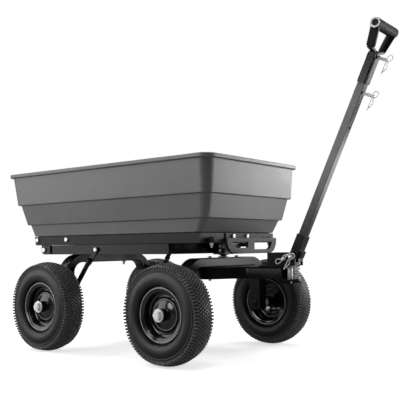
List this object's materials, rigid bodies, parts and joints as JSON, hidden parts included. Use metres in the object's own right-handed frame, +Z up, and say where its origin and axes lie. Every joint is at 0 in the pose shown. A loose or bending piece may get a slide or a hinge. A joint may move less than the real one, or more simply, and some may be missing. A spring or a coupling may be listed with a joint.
{
  "type": "tipping dump cart",
  "caption": "Hand-pulled garden dump cart: a stepped plastic tub that tips back on a steel chassis, arched axles with solid tyres, a steered drawbar and a folding pull handle with tow clevis.",
  "frame": {"origin": "on the ground, under the middle of the cart's overall length and width", "axes": "+X forward to the pull handle, +Y to the cart's left, +Z up"},
  "size_m": [1.5516, 0.7288, 1.0667],
  "materials": {
    "tub_plastic": "grey moulded polythene, faint grain",
    "tyre_rubber": "solid foam rubber, block tread",
    "wheel_gloss_black": "gloss black enamel on pressed steel",
    "bearing_steel": "plain steel",
    "bumper_rubber": "matt rubber",
    "grip_rubber": "soft moulded rubber",
    "black_plastic": "black moulded plastic",
    "zinc": "bright zinc plate",
    "spring_steel": "bright drawn wire",
    "bed_paint": "dark grey powder coat",
    "frame_paint": "black powder coat"
  },
  "bodies": {
    "chassis": {"chassis_rail_left": "frame_paint", "chassis_rail_right": "frame_paint", "chassis_rear_member": "frame_paint", "chassis_front_member": "frame_paint", "kingpin_bracket": "frame_paint", "bracket_bolts": "zinc", "king_bolt": "zinc", "king_nut": "zinc", "latch_striker": "zinc", "rear_arch": "frame_paint", "rear_spindles": "zinc", "rear_struts": "frame_paint", "strut_bolts": "zinc", "rear_arch_bolts": "zinc", "rear_nuts": "zinc"},
    "bed": {"tub": "tub_plastic", "bed_rail_left": "bed_paint", "bed_rail_right": "bed_paint", "bed_front_angle": "bed_paint", "bed_rear_angle": "bed_paint", "hinge_ears": "frame_paint", "hinge_bolts": "zinc", "bed_bolts": "zinc", "bumpers": "bumper_rubber", "bumper_bolts": "zinc", "latch_bracket": "bed_paint", "latch_bolts": "zinc", "lever_rod": "zinc"},
    "lever": {"dump_lever": "black_plastic"},
    "steering": {"front_arch": "frame_paint", "front_spindles": "zinc", "front_nuts": "zinc", "drawbar": "frame_paint", "drawbar_bolts": "zinc", "hitch_bracket": "frame_paint", "hitch_lip": "frame_paint", "hitch_bolt": "zinc", "hitch_pins": "zinc", "hitch_clips": "zinc", "support_spring": "spring_steel"},
    "handle": {"handle_base": "frame_paint", "handle_tube": "frame_paint", "tow_clevis": "frame_paint", "tow_pins": "zinc", "tow_clips": "zinc", "grip_frame": "frame_paint", "grip_pad": "grip_rubber", "grip_bolt": "black_plastic"},
    "wheel_rear_left_body": {"tyre_rear_left": "tyre_rubber", "wheel_rear_left": "wheel_gloss_black", "bearings_rear_left": "bearing_steel"},
    "wheel_rear_right_body": {"tyre_rear_right": "tyre_rubber", "wheel_rear_right": "wheel_gloss_black", "bearings_rear_right": "bearing_steel"},
    "wheel_front_left_body": {"tyre_front_left": "tyre_rubber", "wheel_front_left": "wheel_gloss_black", "bearings_front_left": "bearing_steel"},
    "wheel_front_right_body": {"tyre_front_right": "tyre_rubber", "wheel_front_right": "wheel_gloss_black", "bearings_front_right": "bearing_steel"}
  },
  "joints": [
    {"name": "bed_tip", "type": "hinge", "parent": "chassis", "child": "bed", "pos_m": [-0.61328, 0, 0.375], "axis": [0, -1, 0], "range_deg": [0, 80]},
    {"name": "lever_pull", "type": "hinge", "parent": "bed", "child": "lever", "pos_m": [0.22872, 0, 0.403], "axis": [0, -1, 0], "range_deg": [0, 35]},
    {"name": "steer", "type": "hinge", "parent": "chassis", "child": "steering", "pos_m": [0.11772, 0, 0.33], "axis": [0, 0, 1], "range_deg": [-40, 40]},
    {"name": "handle_fold", "type": "hinge", "parent": "steering", "child": "handle", "pos_m": [0.41572, 0, 0.346], "axis": [0, 1, 0], "range_deg": [-30, 65], "deforming": ["support_spring"]},
    {"name": "wheel_rear_left_spin", "type": "hinge", "parent": "chassis", "child": "wheel_rear_left_body", "pos_m": [-0.48228, 0.309, 0.165], "axis": [0, 1, 0], "continuous": true},
    {"name": "wheel_rear_right_spin", "type": "hinge", "parent": "chassis", "child": "wheel_rear_right_body", "pos_m": [-0.48228, -0.309, 0.165], "axis": [0, 1, 0], "continuous": true},
    {"name": "wheel_front_left_spin", "type": "hinge", "parent": "steering", "child": "wheel_front_left_body", "pos_m": [0.11772, 0.309, 0.165], "axis": [0, 1, 0], "continuous": true},
    {"name": "wheel_front_right_spin", "type": "hinge", "parent": "steering", "child": "wheel_front_right_body", "pos_m": [0.11772, -0.309, 0.165], "axis": [0, 1, 0], "continuous": true}
  ]
}
